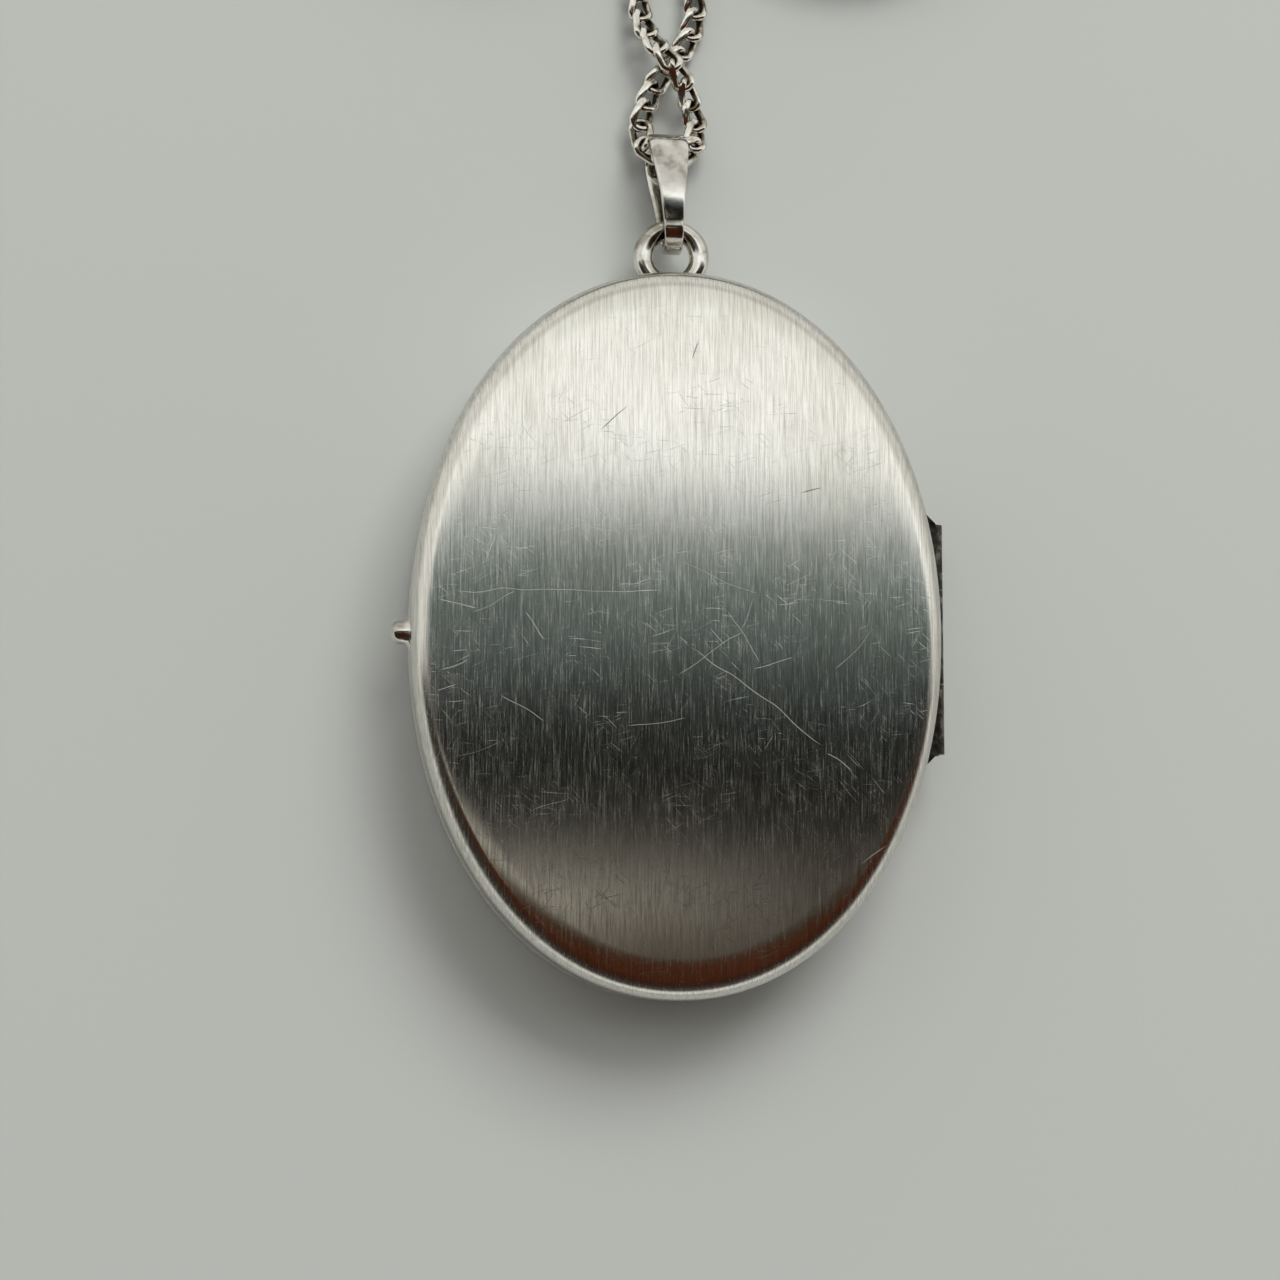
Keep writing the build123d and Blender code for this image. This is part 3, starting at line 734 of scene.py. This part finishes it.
brushed = brushedSterling()
polished = polishedSterling()
chainSilver = chainSterling()
tarnishAndDarkReflection = tarnishAndDarkReflectionSterling()
acetate = clearAcetate()
card = creamCard()
for piece in (backCover, frontCover):
    piece.data.materials.append(brushed)
for piece in (strandLeft, strandRight, bightLinks):
    piece.data.materials.clear()
    piece.data.materials.append(chainSilver)
for name in ("front_window", "back_window"):
    dress(name, acetate)
for name in ("front_picture_card", "back_picture_card"):
    dress(name, card)
for piece in (bail, thumbNib):
    piece.data.materials.clear()
    piece.data.materials.append(polished)
for name in (
    "case_loop", "front_bezel", "back_bezel",
    "front_photo_frame", "back_photo_frame", "front_seat_ring", "back_seat_ring", "snap_bead",
    "clasp_body", "clasp_bolt", "clasp_tie_ring", "chain_end_ring", "clasp_spring",
):
    dress(name, polished)
# the hinge's parts: tarnish, with painted dark reflection in their dark colour
for name in (
    "hinge_pin", "hinge_knuckle_upper", "hinge_knuckle_middle", "hinge_knuckle_lower",
    "front_hinge_bearer", "back_hinge_bearer",
):
    dress(name, tarnishAndDarkReflection)
print("materials made")


# floor and light

def addFloor():
    deselect()
    bpy.ops.mesh.primitive_plane_add(size=4, location=(0, 0, 0))
    floor = bpy.context.object
    floor.name = "studio_floor"
    material, tree, shader = newMaterial("pale studio floor", Roughness=0.75)
    shader.inputs["Base Color"].default_value = linear("#CFD3D2")
    floor.data.materials.append(material)


# a soft room above the locket: the colours at each lean from straight up towards the chain, in degrees
room = {
    "zones": [
        (-90, "#8E8A82"), (-76, "#57504A"), (-55, "#35302C"), (-38, "#2E1D15"), (-20, "#3A1B0E"),
        (-6, "#40200F"), (-4.6, "#2E2219"), (-3.5, "#5F5A50"), (-2.7, "#A09B8E"), (-1.5, "#A39F96"),
        (-0.5, "#524F4A"), (0.6, "#1C1D1A"), (2.4, "#060706"), (4.6, "#161A18"), (6.3, "#454D4C"),
        (8.8, "#566260"), (10.5, "#8A9391"), (11.5, "#C4C8C5"), (12.4, "#F4F5F2"), (15.5, "#FFFFFC"),
        (19, "#EAEBE5"), (27, "#D4D4CE"), (40, "#BDBDB7"), (60, "#D0CECA"), (90, "#DAD8D4"),
    ],
    # how much of the side walls shows at each lean to the left and the right: black is none
    "sides": [
        (-90, "#FFFFFF"), (-34, "#FFFFFF"), (-16, "#000000"), (42, "#000000"), (64, "#FFFFFF"),
        (90, "#FFFFFF"),
    ],
    "walls": "#D6D5D0",  # beside it, level with the chain's end
    "lowWalls": "#2B2924",  # beside it, level with the other end
    "rightCorner": "#1B1813",
    "wallStart": (0.0, 10.0),  # the two kinds of wall meet between these leans
    "lowEnd": (3.0, 0.5),  # the corner on the right comes in between these leans, above the brown band
    "brownEnd": (-5.0, -3.5),
    "cornerStart": (2.0, 12.0),
    "cornerStrength": 0.92,
    "horizon": "#CBCAC5",  # level with the floor the room is plain
    "horizonTop": (0.22, 0.4),
    "strength": 1.25,
}


def fadeIn(tree, source, ends, most=1.0):
    # nothing up to the first of the two ends, all of it from the second on
    return addNode(tree, "ShaderNodeMapRange", {"From Min": ends[0], "From Max": ends[1], "To Max": most},
                   {"Value": source})


def addWorld():
    world = bpy.data.worlds.new("soft studio")
    bpy.context.scene.world = world
    world.use_nodes = True
    tree = world.node_tree
    place = addNode(tree, "ShaderNodeTexCoord")
    parts = addNode(tree, "ShaderNodeSeparateXYZ", wires={0: place.outputs["Generated"]})
    ramps, leans = [], []
    for axis, stops in (("Y", room["zones"]), ("X", room["sides"])):
        lean = addNode(tree, "ShaderNodeMath", wires={0: parts.outputs[axis], 1: parts.outputs["Z"]},
                       operation="ARCTAN2")
        lean = addNode(tree, "ShaderNodeMath", {1: 180 / math.pi}, {0: lean}, operation="MULTIPLY")
        span = addNode(tree, "ShaderNodeMapRange", {"From Min": -90.0, "From Max": 90.0}, {"Value": lean})
        ramps.append(colourRamp(tree, span, [((angle + 90) / 180, colour) for angle, colour in stops]))
        leans.append(lean)
    alongLean, sideLean = leans
    upper = fadeIn(tree, alongLean, room["wallStart"])
    walls = addNode(tree, "ShaderNodeMix", {"A": linear(room["lowWalls"]), "B": linear(room["walls"])},
                    {"Factor": upper}, data_type="RGBA")
    # the warm light at the low end fades out to the right
    corner = addNode(tree, "ShaderNodeMath", operation="MULTIPLY", wires={
        0: fadeIn(tree, alongLean, room["lowEnd"]), 1: fadeIn(tree, alongLean, room["brownEnd"])})
    corner = addNode(tree, "ShaderNodeMath", operation="MULTIPLY", wires={
        0: corner, 1: fadeIn(tree, sideLean, room["cornerStart"], room["cornerStrength"])})
    middle = addNode(tree, "ShaderNodeMix", {"B": linear(room["rightCorner"])},
                     {"Factor": corner, "A": ramps[0]}, data_type="RGBA")
    mixed = addNode(tree, "ShaderNodeMix", wires={
        "Factor": ramps[1], "A": middle.outputs["Result"], "B": walls.outputs["Result"]}, data_type="RGBA")
    above = fadeIn(tree, parts.outputs["Z"], room["horizonTop"])
    mixed = addNode(tree, "ShaderNodeMix", {"A": linear(room["horizon"])},
                    {"Factor": above, "B": mixed.outputs["Result"]}, data_type="RGBA")
    tree.links.new(mixed.outputs["Result"], tree.nodes["Background"].inputs["Color"])
    tree.nodes["Background"].inputs["Strength"].default_value = room["strength"]
    bpy.context.scene.view_settings.view_transform = "Standard"


def addSoftbox(name, place, size, power, colour):
    deselect()
    bpy.ops.object.light_add(type="AREA", location=place)
    lamp = bpy.context.object
    lamp.name = name
    lamp.data.shape = "RECTANGLE"
    lamp.data.size, lamp.data.size_y = size
    lamp.data.energy = power
    lamp.data.color = linear(colour)[:3]
    lamp.visible_glossy = False  # the silver mirrors the room only
    lamp.rotation_euler = (-Vector(place)).to_track_quat("-Z", "Y").to_euler()


addFloor()
addWorld()
addSoftbox("window_light", (0.25, 0.55, 0.6), (0.5, 0.4), 4.0, "#FFFDF8")
print("stage made")
